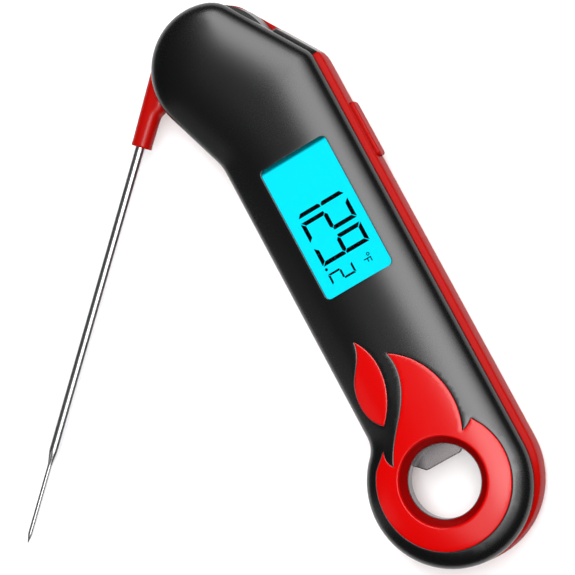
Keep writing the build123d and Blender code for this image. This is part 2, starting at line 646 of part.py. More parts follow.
with BuildSketch() as tongue:
    with Locations((1.0, 0)):
        Rectangle(8.0, HUB_R + 1.0, align=(Align.MIN, Align.MAX))
    with Locations((0, 0)):
        Circle(HUB_R, mode=Mode.INTERSECT)
        Circle(TONGUE_IN_R, mode=Mode.SUBTRACT)

with BuildPart() as probe_sleeve:
    with BuildSketch(HUB_PLANE.offset(ARM_Z - ARM_W / 2)):
        with Locations((0, -ARM_OFF)):
            Rectangle(ARM_LEN, ARM_W, align=(Align.MIN, Align.CENTER))
    extrude(amount=ARM_W)
    fillet(probe_sleeve.edges().filter_by(lambda e: abs(e.length - ARM_LEN) < 0.01), 2.2)
    with BuildSketch(HUB_PLANE.offset(ARM_Z - ARM_W / 2 + 0.6)):
        flare_x = sqrt(HUB_R**2 - (ARM_OFF - ARM_W / 2) ** 2)
        with BuildLine():
            Polyline(
                (flare_x - 2.0, -ARM_OFF),
                (flare_x - 1.5, -(ARM_OFF - ARM_W / 2) + 2.5),
                (flare_x + 3.5, -(ARM_OFF - ARM_W / 2) + 0.1),
                (flare_x + 3.5, -ARM_OFF),
                (flare_x - 2.0, -ARM_OFF),
            )
        make_face()
        with BuildLine():
            Polyline((-8.0, -15.0), (0.0, -ARM_OFF - ARM_W / 2), (2.0, -15.0), (-8.0, -15.0))
        make_face()
    extrude(amount=ARM_W - 1.2)
    with BuildSketch(HUB_PLANE.offset(HUB_LOW)):
        Circle(HUB_R)
    extrude(amount=HUB_HIGH - HUB_LOW, mode=Mode.SUBTRACT)
    with BuildSketch(HUB_PLANE.offset(ARM_Z - TONGUE_T / 2)):
        add(tongue.sketch)
    extrude(amount=TONGUE_T)
    with BuildSketch(TUBE_PLANE):
        Circle(TUBE_R)
    extrude(amount=ARM_LEN - TUBE_START, mode=Mode.SUBTRACT)

with BuildPart() as probe_hub:
    with BuildSketch(HUB_PLANE.offset(HUB_LOW)):
        Circle(HUB_R)
        Circle(BUSH_R + BUSH_GAP, mode=Mode.SUBTRACT)
    extrude(amount=HUB_HIGH - HUB_LOW)
    with BuildSketch(HUB_PLANE.offset(ARM_Z - TONGUE_T / 2)):
        add(tongue.sketch)
    extrude(amount=TONGUE_T, mode=Mode.SUBTRACT)
    with BuildSketch(HUB_PLANE.offset(HUB_HIGH - RING_T)):
        Circle(RING_OUT)
    extrude(amount=RING_T, mode=Mode.SUBTRACT)
    with BuildSketch(HUB_PLANE.offset(HUB_HIGH - 2.0)):
        with Locations(MAGNET_AT):
            Circle(1.5)
    extrude(amount=2.0, mode=Mode.SUBTRACT)

with BuildPart() as hub_ring:
    with BuildSketch(HUB_PLANE.offset(HUB_HIGH - RING_T)):
        Circle(RING_OUT)
        Circle(BUSH_R + 0.1, mode=Mode.SUBTRACT)
    extrude(amount=RING_T)

with BuildPart() as wake_magnet:
    with BuildSketch(HUB_PLANE.offset(HUB_HIGH - 2.0)):
        with Locations(MAGNET_AT):
            Circle(1.5)
    extrude(amount=2.0)

PROBE_BODY = PROBE_LEN - TUBE_START
TAPER_AT = PROBE_BODY - TIP_LEN - TAPER_LEN
with BuildPart() as probe_tube:
    with BuildSketch(PROFILE_PLANE):
        with BuildLine():
            Polyline(
                (TUBE_IN, 0),
                (TUBE_R, 0),
                (TUBE_R, TAPER_AT),
                (TIP_R, TAPER_AT + TAPER_LEN),
                (TIP_R, PROBE_BODY - POINT_LEN),
                (0, PROBE_BODY),
                (0, PROBE_BODY - POINT_LEN - 1.0),
                (TIP_IN, PROBE_BODY - POINT_LEN - 1.0),
                (TIP_IN, TAPER_AT + TAPER_LEN),
                (TUBE_IN, TAPER_AT),
                (TUBE_IN, 0),
            )
        make_face()
    revolve(axis=Axis(TUBE_PLANE.origin, TUBE_PLANE.z_dir))

with BuildPart() as thermistor:
    with BuildSketch(TUBE_PLANE.offset(PROBE_BODY - POINT_LEN - 4.0)):
        Circle(TIP_IN - 0.05)
    extrude(amount=2.5)

with BuildPart() as probe_wires:
    with BuildSketch(TUBE_PLANE.offset(1.0)):
        with Locations((0.24, 0), (-0.24, 0)):
            Circle(0.18)
    extrude(amount=PROBE_BODY - POINT_LEN - 5.0)

NODES = {
    "front_cover": front_cover,
    "rear_cover": rear_cover,
    "housing_seal": housing_seal,
    "case_screws": case_screws,
    "flame_inlay": flame_inlay,
    "flame_leaf": flame_leaf,
    "opener_plate": opener_plate,
    "hole_collar": hole_collar,
    "display_lens": display_lens,
    "lcd_glass": lcd_glass,
    "lcd_backlight": lcd_backlight,
    "lcd_frame": lcd_frame,
    "zebra_strips": zebra_strips,
    "circuit_board": circuit_board,
    "controller_chip": controller_chip,
    "board_parts": board_parts,
    "wake_sensor": wake_sensor,
    "tact_switch": tact_switch,
    "switch_plunger": switch_plunger,
    "side_button": side_button,
    "button_seal": button_seal,
    "battery_holder": battery_holder,
    "coin_cell": coin_cell,
    "contact_plus": contact_plus,
    "contact_minus": contact_minus,
    "battery_door": battery_door,
    "door_seal": door_seal,
    "back_magnets": back_magnets,
    "hinge_bush": hinge_bush,
    "hinge_screw": hinge_screw,
    "friction_washer": friction_washer,
    "spring_washer": spring_washer,
    "board_leads": board_leads,
    "probe_hub": probe_hub,
    "probe_sleeve": probe_sleeve,
    "hub_ring": hub_ring,
    "wake_magnet": wake_magnet,
    "probe_tube": probe_tube,
    "thermistor": thermistor,
    "probe_wires": probe_wires,
}

for name, piece in NODES.items():
    piece.part.label = name
    export_step(piece.part, f"parts/{name}.step")
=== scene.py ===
import bpy
import bmesh
import json
import math
import numpy as np
from mathutils import Matrix, Vector
from mathutils.geometry import delaunay_2d_cdt

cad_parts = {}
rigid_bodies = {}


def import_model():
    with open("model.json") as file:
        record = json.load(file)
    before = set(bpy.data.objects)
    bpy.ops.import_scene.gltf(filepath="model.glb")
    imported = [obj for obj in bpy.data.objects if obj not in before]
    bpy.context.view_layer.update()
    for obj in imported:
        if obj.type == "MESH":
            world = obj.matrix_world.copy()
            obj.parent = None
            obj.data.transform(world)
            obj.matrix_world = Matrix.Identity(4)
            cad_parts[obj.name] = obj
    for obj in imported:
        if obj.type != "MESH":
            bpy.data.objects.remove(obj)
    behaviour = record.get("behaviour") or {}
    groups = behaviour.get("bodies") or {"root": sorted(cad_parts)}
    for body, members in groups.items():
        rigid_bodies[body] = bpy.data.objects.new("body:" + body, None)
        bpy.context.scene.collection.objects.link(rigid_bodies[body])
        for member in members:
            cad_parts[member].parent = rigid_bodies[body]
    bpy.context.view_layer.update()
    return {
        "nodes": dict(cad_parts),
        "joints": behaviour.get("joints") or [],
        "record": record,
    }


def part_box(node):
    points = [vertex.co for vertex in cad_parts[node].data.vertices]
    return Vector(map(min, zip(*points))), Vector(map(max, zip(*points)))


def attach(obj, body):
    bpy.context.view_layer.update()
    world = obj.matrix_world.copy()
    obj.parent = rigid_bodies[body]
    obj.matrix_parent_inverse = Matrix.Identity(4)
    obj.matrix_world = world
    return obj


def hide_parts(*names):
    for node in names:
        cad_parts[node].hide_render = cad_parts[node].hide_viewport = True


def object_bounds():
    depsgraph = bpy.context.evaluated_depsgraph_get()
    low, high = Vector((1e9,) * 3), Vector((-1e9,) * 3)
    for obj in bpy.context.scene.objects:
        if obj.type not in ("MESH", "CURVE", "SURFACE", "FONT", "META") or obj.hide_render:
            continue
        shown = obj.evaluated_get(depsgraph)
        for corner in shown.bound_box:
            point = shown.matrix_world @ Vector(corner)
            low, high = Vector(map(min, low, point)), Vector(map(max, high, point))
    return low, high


# Looks of a folding meat thermometer. Shapes are worked out in millimetres and stored in metres.
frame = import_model()
NODES = frame["nodes"]
MM = 0.001


# ---- reading the CAD frame ------------------------------------------------------------
def mm_box(node):
    low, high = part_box(node)
    return np.array(low) / MM, np.array(high) / MM


def cad(node):
    """The CAD node's mesh, welded, in millimetres."""
    bm = bmesh.new()
    bm.from_mesh(NODES[node].data)
    bmesh.ops.scale(bm, vec=(1 / MM,) * 3, verts=bm.verts)
    bmesh.ops.remove_doubles(bm, verts=bm.verts, dist=2e-3)
    return bm


def chains(pairs):
    """Closed loops of indices from a list of edges."""
    near = {}
    for a, b in pairs:
        near.setdefault(a, []).append(b)
        near.setdefault(b, []).append(a)
    loops = []
    while near:
        first = next(iter(near))
        loop, last, here = [first], first, near[first][0]
        while here != first and len(loop) <= len(near):
            loop.append(here)
            a, b = near[here][:2]
            last, here = here, b if a == last else a
        for v in loop:
            near.pop(v, None)
        loops.append(loop)
    return loops


def area(p):
    q = np.roll(p, -1, 0)
    return float((p[:, 0] * q[:, 1] - q[:, 0] * p[:, 1]).sum() / 2)


def ordered(bm, pairs):
    bm.verts.ensure_lookup_table()
    loops = [np.array([bm.verts[i].co.xy for i in loop], float) for loop in chains(pairs)]
    bm.free()
    return sorted(loops, key=lambda p: -abs(area(p)))


def section(node, z):
    """Loops where a level plane cuts a CAD node, the largest first."""
    bm = cad(node)
    everything = bm.verts[:] + bm.edges[:] + bm.faces[:]
    bmesh.ops.bisect_plane(
        bm, geom=everything, plane_co=(0, 0, z), plane_no=(0, 0, 1), clear_inner=True, clear_outer=True
    )
    bm.verts.index_update()
    return ordered(bm, [(e.verts[0].index, e.verts[1].index) for e in bm.edges])


def flat_loops(node, z):
    """Loops round a CAD node's level faces at one height, the largest first."""
    bm = cad(node)
    flat = {f for f in bm.faces if all(abs(v.co.z - z) < 1e-3 for v in f.verts)}
    bm.verts.index_update()
    rim = [e for e in bm.edges if sum(f in flat for f in e.link_faces) == 1]
    return ordered(bm, [(e.verts[0].index, e.verts[1].index) for e in rim])


# ---- plane curves ---------------------------------------------------------------------
def unit(v):
    return v / np.maximum(np.linalg.norm(v, axis=-1, keepdims=True), 1e-12)


def smooth(loop, step, corner=30.0):
    """The loop as an even, smooth curve, run anticlockwise, with its corners kept."""
    p = loop[np.linalg.norm(loop - np.roll(loop, 1, 0), axis=1) > 5e-3]
    if area(p) < 0:
        p = p[::-1]
    seg = np.roll(p, -1, 0) - p
    size = np.linalg.norm(seg, axis=1)
    ahead = seg / size[:, None]
    behind, size_b = np.roll(ahead, 1, 0), np.roll(size, 1)
    turn = np.degrees(np.arccos(np.clip((ahead * behind).sum(1), -1, 1)))
    both = unit(behind * size[:, None] + ahead * size_b[:, None])
    long_a, long_b = (size > 3 * size_b) & (size > 2), (size_b > 3 * size) & (size_b > 2)
    both[long_a], both[long_b] = ahead[long_a], behind[long_b]
    sharp = turn > corner
    out, into = np.where(sharp[:, None], ahead, both), np.where(sharp[:, None], behind, both)
    dense, marks = [], []
    for i in range(len(p)):
        j = (i + 1) % len(p)
        k = max(1, math.ceil(size[i] / 0.12))
        t = (np.arange(k) / k)[:, None]
        a, b = (2 * t**3 - 3 * t**2 + 1), (t**3 - 2 * t**2 + t)
        c, d = (3 * t**2 - 2 * t**3), (t**3 - t**2)
        marks += [bool(sharp[i])] + [False] * (k - 1)
        dense.append(a * p[i] + b * size[i] * out[i] + c * p[j] + d * size[i] * into[j])
    dense, marks = np.vstack(dense), np.array(marks)
    stops = list(np.nonzero(marks)[0]) or [0]
    dense = np.roll(dense, -stops[0], 0)
    stops = [s - stops[0] for s in stops] + [len(dense)]
    dense = np.vstack([dense, dense[:1]])
    even = []
    for s, e in zip(stops, stops[1:]):
        part = dense[s : e + 1]
        run = np.concatenate([[0], np.cumsum(np.linalg.norm(np.diff(part, axis=0), axis=1))])
        at = np.linspace(0, run[-1], max(2, round(run[-1] / step)) + 1)[:-1]
        even.append(np.stack([np.interp(at, run, part[:, k]) for k in (0, 1)], 1))
    return np.vstack(even)


def inward(loop):
    """Unit normals to the left of each vertex of an anticlockwise loop."""
    ahead, behind = unit(np.roll(loop, -1, 0) - loop), unit(loop - np.roll(loop, 1, 0))
    t = unit(ahead + behind)
    return np.stack([-t[:, 1], t[:, 0]], 1)


def circle(cx, cy, r, n=128):
    a = np.arange(n) * 2 * math.pi / n
    return np.stack([cx + r * np.cos(a), cy + r * np.sin(a)], 1)


def rounded(cx, cy, w, h, r, step=0.25):
    """Rectangle with rounded corners, anticlockwise."""
    k = max(4, math.ceil(r * math.pi / 2 / step))
    pts = []
    for sx, sy, a0 in ((1, -1, -90), (1, 1, 0), (-1, 1, 90), (-1, -1, 180)):
        for i in range(k + 1):
            a = math.radians(a0 + 90 * i / k)
            pts.append((cx + sx * (w / 2 - r) + r * math.cos(a), cy + sy * (h / 2 - r) + r * math.sin(a)))
    p = np.array(pts)
    full = []
    for a, b in zip(p, np.roll(p, -1, 0)):
        n = max(1, math.ceil(np.linalg.norm(b - a) / 0.9))
        full += [a + (b - a) * i / n for i in range(n)]
    return np.array(full)


def closest(points, loop):
    """Distance from each point to a closed loop, and the nearest point on it."""
    a, d = loop, np.roll(loop, -1, 0) - loop
    best, spot = np.empty(len(points)), np.empty((len(points), 2))
    for i in range(0, len(points), 1500):
        q = points[i : i + 1500, None, :]
        t = np.clip(((q - a) * d).sum(2) / np.maximum((d * d).sum(1), 1e-12), 0, 1)
        foot = a + t[..., None] * d
        gap = ((q - foot) ** 2).sum(2)
        k = gap.argmin(1)
        rows = np.arange(len(k))
        best[i : i + 1500], spot[i : i + 1500] = np.sqrt(gap[rows, k]), foot[rows, k]
    return best, spot


def inside(points, loop):
    x, y = points[:, 0], points[:, 1]
    result = np.zeros(len(points), bool)
    for (x0, y0), (x1, y1) in zip(loop, np.roll(loop, -1, 0)):
        cross = (y0 > y) != (y1 > y)
        if y1 != y0:
            result ^= cross & (x < (x1 - x0) * (y - y0) / (y1 - y0) + x0)
    return result


def pulled(loop, limit):
    """The loop with any point beyond the limit drawn back onto it."""
    spot = closest(loop, limit)[1]
    return np.where(inside(loop, limit)[:, None], loop, spot)


def fill(outer, holes=(), step=1.0, rows=()):
    """Triangles over a region. rows are (loop, distances, side) of extra points beside a loop."""
    loops = [outer, *holes]
    edges, start = [], 0
    for loop in loops:
        n = len(loop)
        edges += [(start + i, start + (i + 1) % n) for i in range(n)]
        start += n

    def wanted(q, gap):
        ok = inside(q, outer)
        for hole in holes:
            ok &= ~inside(q, hole)
        q = q[ok]
        gap = gap[ok]
        for loop in loops:
            if len(q):
                far = closest(q, loop)[0] >= gap
                q, gap = q[far], gap[far]
        return q

    reach = 0.0
    extra = []
    for loop, distances, side in rows:
        for d in distances:
            q = loop + side * d * inward(loop)
            extra.append(wanted(q, np.full(len(q), 0.93 * d)))
            reach = max(reach, d)
    if step:
        low, high = outer.min(0), outer.max(0)
        ys = np.arange(low[1], high[1], step * 0.866)
        grid = [
            (x + (i % 2) * step / 2, y)
            for i, y in enumerate(ys)
            for x in np.arange(low[0], high[0], step)
        ]
        grid = np.array(grid)
        extra.append(wanted(grid, np.full(len(grid), reach + 0.55 * step)))
    points = np.vstack(loops + extra)
    out = delaunay_2d_cdt([Vector(p) for p in points], edges, [], 0, 1e-7, False)
    xy = np.array([v[:] for v in out[0]], float)
    tris = np.array([f for f in out[2] if len(f) == 3])
    middle = xy[tris].mean(1)
    keep = inside(middle, outer)
    for hole in holes:
        keep &= ~inside(middle, hole)
    return xy, tris[keep]


# ---- meshes ---------------------------------------------------------------------------
def mended(bm, tiny):
    """Takes out flat slivers that leave an edge with one or three faces, and closes what stays open."""
    for _ in range(6):
        odd = [e for e in bm.edges if len(e.link_faces) not in (0, 2)]
        slivers = {f for e in odd for f in e.link_faces if f.calc_area() < tiny}
        if not slivers:
            break
        bmesh.ops.delete(bm, geom=list(slivers), context="FACES")
    bmesh.ops.holes_fill(bm, edges=[e for e in bm.edges if e.is_boundary], sides=0)


class Shell:
    """Collects sheets, walls and rings, and welds them into one closed mesh."""

    def __init__(self):
        self.verts, self.faces = [], []

    def add(self, points, faces):
        base = len(self.verts)
        self.verts += [tuple(float(c) for c in p) for p in points]
        self.faces += [tuple(int(base + i) for i in f) for f in faces]
        return self

    def sheet(self, filled, z):
        xy, tris = filled
        height = z(xy) if callable(z) else np.full(len(xy), float(z))
        return self.add(np.column_stack([xy, height]), tris)

    def rings(self, rings):
        """Quads between rings of the same number of points."""
        n = len(rings[0])
        faces = [
            (k * n + i, k * n + (i + 1) % n, (k + 1) * n + (i + 1) % n, (k + 1) * n + i)
            for k in range(len(rings) - 1)
            for i in range(n)
        ]
        return self.add(np.vstack(rings), faces)

    def wall(self, loop, low, high):
        levels = [z(loop) if callable(z) else np.full(len(loop), float(z)) for z in (low, high)]
        return self.rings([np.column_stack([loop, z]) for z in levels])

    def prism(self, loop, low, high):
        self.sheet(fill(loop, step=0), low).sheet(fill(loop, step=0), high)
        return self.wall(loop, low, high)

    def mesh(self, name, weld=1e-3):
        bm = bmesh.new()
        made = [bm.verts.new(v) for v in self.verts]
        for f in self.faces:
            if len(set(f)) > 2:
                bm.faces.new([made[i] for i in f])
        bmesh.ops.remove_doubles(bm, verts=bm.verts, dist=weld)
        bmesh.ops.dissolve_degenerate(bm, edges=bm.edges, dist=1e-5)
        mended(bm, 1e-3)
        bmesh.ops.recalc_face_normals(bm, faces=bm.faces)
        bmesh.ops.scale(bm, vec=(MM,) * 3, verts=bm.verts)
        mesh = bpy.data.meshes.new(name)
        bm.to_mesh(mesh)
        bm.free()
        return mesh


def show(mesh, name, angle=32.0):
    mesh.shade_smooth()
    mesh.set_sharp_from_angle(angle=math.radians(angle))
    obj = bpy.data.objects.new(name, mesh)
    bpy.context.scene.collection.objects.link(obj)
    return obj


def dress(obj, body, paint, stands_for=()):
    """Paints a piece, attaches it to the body it moves with, and hides the CAD nodes it stands for."""
    obj.data.materials.clear()
    obj.data.materials.append(paint)
    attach(obj, body)
    if stands_for:
        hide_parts(*stands_for)
    return obj


def carve(obj, cutters):
    """Takes the cutters out of the object for good."""
    for i, cutter in enumerate(cutters):
        tool = bpy.data.objects.new(f"tool_{i}", cutter.mesh(f"tool_{i}"))
        bpy.context.scene.collection.objects.link(tool)
        cut = obj.modifiers.new("cut", "BOOLEAN")
        cut.operation, cut.solver, cut.object = "DIFFERENCE", "EXACT", tool
    bpy.context.view_layer.update()
    done = bpy.data.meshes.new_from_object(obj.evaluated_get(bpy.context.evaluated_depsgraph_get()))
    obj.modifiers.clear()
    obj.data = done
    bm = bmesh.new()
    bm.from_mesh(done)
    bmesh.ops.triangulate(bm, faces=bm.faces[:])
    bmesh.ops.remove_doubles(bm, verts=bm.verts[:], dist=1e-6)
    mended(bm, 1e-10)
    bm.to_mesh(done)
    bm.free()
    for tool in [o for o in bpy.data.objects if o.name.startswith("tool_")]:
        bpy.data.objects.remove(tool)
    done.shade_smooth()
    done.set_sharp_from_angle(angle=math.radians(32))
    return obj


def remade(node, width, segments):
    """A CAD node's shape again, with its sharp edges rounded."""
    flat, corner = math.radians(3), math.radians(40)
    bm = cad(node)
    bmesh.ops.dissolve_limit(bm, angle_limit=flat, verts=bm.verts, edges=bm.edges, delimit=set())
    sharp = [e for e in bm.edges if len(e.link_faces) == 2 and e.calc_face_angle() > corner]
    bmesh.ops.bevel(
        bm, geom=sharp, offset=width, offset_type="OFFSET", segments=segments, profile=0.5,
        affect="EDGES", clamp_overlap=True,
    )
    bmesh.ops.triangulate(bm, faces=[f for f in bm.faces if len(f.verts) > 4])
    bmesh.ops.scale(bm, vec=(MM,) * 3, verts=bm.verts)
    mesh = bpy.data.meshes.new(node + "_shape")
    bm.to_mesh(mesh)
    bm.free()
    return mesh


# ---- materials ------------------------------------------------------------------------
def look(
    name, color, rough, metallic=0.0, grain=1400.0, bump=0.05, blotch=0.06, tint=0.0, painted_shade=None, **sockets
):
    """A material with fine grain in its roughness and relief, and a broad slow variation, and optionally
    painted shade that darkens its colour near the Z axis.
    """
    mat = bpy.data.materials.new(name)
    mat.use_nodes = True
    nodes, links = mat.node_tree.nodes, mat.node_tree.links
    shader = nodes["Principled BSDF"]
    place = nodes.new("ShaderNodeTexCoord")
    fine = nodes.new("ShaderNodeTexNoise")
    fine.inputs["Scale"].default_value = grain
    fine.inputs["Detail"].default_value = 4.0
    broad = nodes.new("ShaderNodeTexNoise")
    broad.inputs["Scale"].default_value = 45.0
    broad.inputs["Detail"].default_value = 3.0
    links.new(place.outputs["Object"], fine.inputs["Vector"])
    links.new(place.outputs["Object"], broad.inputs["Vector"])
    mixed = nodes.new("ShaderNodeMix")
    mixed.data_type = "FLOAT"
    mixed.inputs["Factor"].default_value = 0.45
    links.new(fine.outputs["Fac"], mixed.inputs["A"])
    links.new(broad.outputs["Fac"], mixed.inputs["B"])
    spread = nodes.new("ShaderNodeMapRange")
    spread.inputs["From Min"].default_value = 0.3
    spread.inputs["From Max"].default_value = 0.7
    spread.inputs["To Min"].default_value = max(0.0, rough - blotch)
    spread.inputs["To Max"].default_value = min(1.0, rough + blotch)
    links.new(mixed.outputs["Result"], spread.inputs["Value"])
    links.new(spread.outputs["Result"], shader.inputs["Roughness"])
    relief = nodes.new("ShaderNodeBump")
    relief.inputs["Strength"].default_value = bump
    relief.inputs["Distance"].default_value = 0.00004
    links.new(fine.outputs["Fac"], relief.inputs["Height"])
    links.new(relief.outputs["Normal"], shader.inputs["Normal"])
    # painted shade: the base colour drops to depth times itself within the inner radius of the Z axis and
    # comes back to full colour at the outer radius
    if painted_shade:
        inner, outer, depth = painted_shade
        flat = nodes.new("ShaderNodeVectorMath")
        flat.operation = "MULTIPLY"
        flat.inputs[1].default_value = (1, 1, 0)
        links.new(place.outputs["Object"], flat.inputs[0])
        size = nodes.new("ShaderNodeVectorMath")
        size.operation = "LENGTH"
        links.new(flat.outputs["Vector"], size.inputs[0])
        fade = nodes.new("ShaderNodeMapRange")
        fade.interpolation_type = "SMOOTHSTEP"
        fade.inputs["From Min"].default_value = inner * MM
        fade.inputs["From Max"].default_value = outer * MM
        links.new(size.outputs["Value"], fade.inputs["Value"])
        blend = nodes.new("ShaderNodeMix")
        blend.data_type = "RGBA"
        blend.inputs["A"].default_value = (*[c * depth for c in color], 1)
        blend.inputs["B"].default_value = (*color, 1)
        links.new(fade.outputs["Result"], blend.inputs["Factor"])
        links.new(blend.outputs["Result"], shader.inputs["Base Color"])
    elif tint:
        ramp = nodes.new("ShaderNodeMix")
        ramp.data_type = "RGBA"
        ramp.inputs["A"].default_value = (*[c * (1 - tint) for c in color], 1)
        ramp.inputs["B"].default_value = (*[min(1, c * (1 + tint)) for c in color], 1)
        links.new(broad.outputs["Fac"], ramp.inputs["Factor"])
        links.new(ramp.outputs["Result"], shader.inputs["Base Color"])
    else:
        shader.inputs["Base Color"].default_value = (*color, 1)
    shader.inputs["Metallic"].default_value = metallic
    for key, value in sockets.items():
        shader.inputs[key.replace("_", " ").title().replace("Ior", "IOR")].default_value = value
    return mat


BLACK = look("shell_black", (0.0012, 0.0013, 0.0015), 0.27, grain=2600, bump=0.005, blotch=0.008)
RED = look(
    "shell_red", (0.3, 0.002, 0.001), 0.34, grain=2200, bump=0.02, blotch=0.04, tint=0.06,
    specular_ior_level=0.0, coat_weight=0.22, coat_roughness=0.22,
)
# painted shade in the hole's chamfer: the inlay's red is 0.4 times as bright within 11.6 mm of the hole's
# centre, full from 12.05 mm
INLAY = look(
    "inlay_red", (0.46, 0.0003, 0.0002), 0.22, grain=2200, bump=0.008, blotch=0.02,
    painted_shade=(11.6, 12.05, 0.4), specular_ior_level=0.28,
)
SLEEVE = look(
    "sleeve_red", (0.3, 0.002, 0.001), 0.36, grain=2000, bump=0.03, blotch=0.05, tint=0.05,
    specular_ior_level=0.0, coat_weight=0.4, coat_roughness=0.25,
)
HUB = look("hub_black", (0.003, 0.0028, 0.0028), 0.38, grain=1800, bump=0.05, blotch=0.05)
RUBBER = look("rubber", (0.012, 0.012, 0.012), 0.7, grain=1500, bump=0.15)
STEEL = look("turned_steel", (0.5, 0.5, 0.51), 0.28, metallic=1.0, grain=1700, bump=0.05)
PLATE = look(
    "plate_steel", (0.14, 0.128, 0.13), 0.26, metallic=1.0, grain=1500, bump=0.008, blotch=0.04, tint=0.04
)
TUBE = look("tube_steel", (0.6, 0.6, 0.61), 0.24, metallic=1.0, grain=2400, bump=0.006, blotch=0.02)
CELL = look("cell_steel", (0.6, 0.6, 0.6), 0.22, metallic=1.0, grain=900, bump=0.04)
BRASS = look("leaf_brass", (0.65, 0.45, 0.16), 0.3, metallic=1.0, grain=1200, bump=0.05)
DARK = look("moulded_black", (0.016, 0.016, 0.017), 0.5, grain=1600, bump=0.08)
WHITE = look("moulded_white", (0.72, 0.72, 0.69), 0.45, grain=1500, bump=0.06)
BOARD = look("board_green", (0.01, 0.13, 0.035), 0.35, grain=700, bump=0.08, tint=0.15)
CHIP = look("chip_epoxy", (0.015, 0.015, 0.016), 0.55, grain=1900, bump=0.1)
MAGNET = look("plated", (0.55, 0.55, 0.56), 0.16, metallic=1.0, grain=1000, bump=0.03)
LEAD = look("lead_skin", (0.5, 0.5, 0.48), 0.55, grain=1500, bump=0.08)
GLASS = look(
    "window_clear", (0.97, 1.0, 1.0), 0.02, grain=300, bump=0.004, blotch=0.01,
    transmission_weight=1.0, ior=1.06,
)
LIT = look(
    "display_lit", (0.0, 0.03, 0.04), 0.5, grain=1600, bump=0.02,
    emission_color=(0.004, 0.83, 1.0, 1), emission_strength=1.0, specular_ior_level=0.0,
)
GLOW = look(
    "backlight_lit", (0.0, 0.1, 0.12), 0.5, grain=1200, bump=0.03,
    emission_color=(0.006, 0.83, 1.0, 1), emission_strength=0.8,
)


def paint_edge_shade(mat, axis, start, stop, dim):
    """Dims a lit material from one plane to another, across one axis, as painted shade."""
    nodes, links = mat.node_tree.nodes, mat.node_tree.links
    shader = nodes["Principled BSDF"]
    place = nodes.new("ShaderNodeTexCoord")
    parts = nodes.new("ShaderNodeSeparateXYZ")
    links.new(place.outputs["Object"], parts.inputs["Vector"])
    fade = nodes.new("ShaderNodeMapRange")
    fade.interpolation_type = "SMOOTHSTEP"
    low_first = start < stop
    fade.inputs["From Min"].default_value = min(start, stop) * MM
    fade.inputs["From Max"].default_value = max(start, stop) * MM
    fade.inputs["To Min"].default_value = 1.0 if low_first else dim
    fade.inputs["To Max"].default_value = dim if low_first else 1.0
    links.new(parts.outputs[axis], fade.inputs["Value"])
    power = shader.inputs["Emission Strength"]
    if power.is_linked:
        both = nodes.new("ShaderNodeMath")
        both.operation = "MULTIPLY"
        links.new(power.links[0].from_socket, both.inputs[0])
        links.new(fade.outputs["Result"], both.inputs[1])
        links.new(both.outputs["Value"], power)
    else:
        links.new(fade.outputs["Result"], power)


MARK = look("display_mark", (0.0006, 0.003, 0.004), 0.6, grain=2200, bump=0.03, specular_ior_level=0.0)
FLOOR = look(
    "studio_floor", (0.82, 0.82, 0.82), 0.8, grain=260, bump=0.02, tint=0.004,
    emission_color=(1, 1, 1, 1), emission_strength=0.15,
)

SLOT_LOOK = {
    "black_shell": BLACK, "red_shell": RED, "red_inlay": INLAY, "red_sleeve": SLEEVE, "black_hub": HUB,
    "red_button": RED, "black_rubber": RUBBER, "steel": STEEL, "brushed_steel": PLATE,
    "probe_steel": TUBE, "cell_steel": CELL, "brass_leaf": BRASS, "clear_lens": GLASS, "lcd_face": LIT,
    "backlight": GLOW, "black_plastic": DARK, "white_plastic": WHITE, "board": BOARD, "chip": CHIP,
    "magnet": MAGNET, "lead": LEAD,
}
for part in frame["record"]["subparts"]:
    node = NODES[part["node"]]
    node.data.materials.clear()
    node.data.materials.append(SLOT_LOOK[part["material_slot"]])

# ---- outlines taken from the CAD frame --------------------------------------------------
TOP = mm_box("front_cover")[1][2]
SEAM = mm_box("rear_cover")[1][2]
RIM_LOW = mm_box("hole_collar")[1][2]
CAVE_TOP = mm_box("display_lens")[0][2]
LENS_DROP, LENS_LEDGE, LENS_BORDER = 0.35, 0.8, 2.0
LENS_TOP = mm_box("display_lens")[1][2] - LENS_DROP
LCD_TOP = mm_box("lcd_glass")[1][2]
HINGE = np.array([j["pos_m"] for j in frame["joints"] if j["name"] == "probe_fold"][0]) / MM

cuts = section("front_cover", SEAM + 0.5)
FRONT = smooth(cuts[0], 0.6)
CAVE = cuts[1]
BACK = smooth(section("rear_cover", 4.2)[0], 0.6)
FLAME = smooth(flat_loops("flame_inlay", 17.0)[0], 0.35)
LEAF = smooth(flat_loops("flame_leaf", TOP)[0], 0.35)
lens_low, lens_high = mm_box("display_lens")
WIN = (lens_low + lens_high)[:2] / 2
WIN_SIZE = (lens_high - lens_low)[:2] - LENS_BORDER
WINDOW = rounded(*WIN, *WIN_SIZE, 1.5)
LENS_EDGE = rounded(*WIN, *(WIN_SIZE + LENS_LEDGE), 1.5)

# painted shade of the window's walls on the display: its light dims near the head-side end, the +X side and
# the other end
paint_edge_shade(LIT, "Y", WIN[1] + WIN_SIZE[1] / 2 - 1.25, WIN[1] + WIN_SIZE[1] / 2 - 0.35, 0.1)
paint_edge_shade(LIT, "X", WIN[0] + WIN_SIZE[0] / 2 - 0.3, WIN[0] + WIN_SIZE[0] / 2 + 0.1, 0.3)
paint_edge_shade(LIT, "Y", WIN[1] - WIN_SIZE[1] / 2 + 0.3, WIN[1] - WIN_SIZE[1] / 2 - 0.1, 0.4)

# ---- crowned front face -------------------------------------------------------------------
RIM_Z, REACH, CURVE_P, CURVE_Q = SEAM + 0.4, 18.0, 2.2, 2.6
BAND = (0.0, 0.02, 0.08, 0.2, 0.4, 0.7, 1.1, 1.6, 2.2, 2.8)


def arch(d):
    t = 1 - np.clip(d, 0, REACH) / REACH
    return RIM_Z + (TOP - RIM_Z) * np.maximum(1 - t**CURVE_P, 0) ** (1 / CURVE_Q)


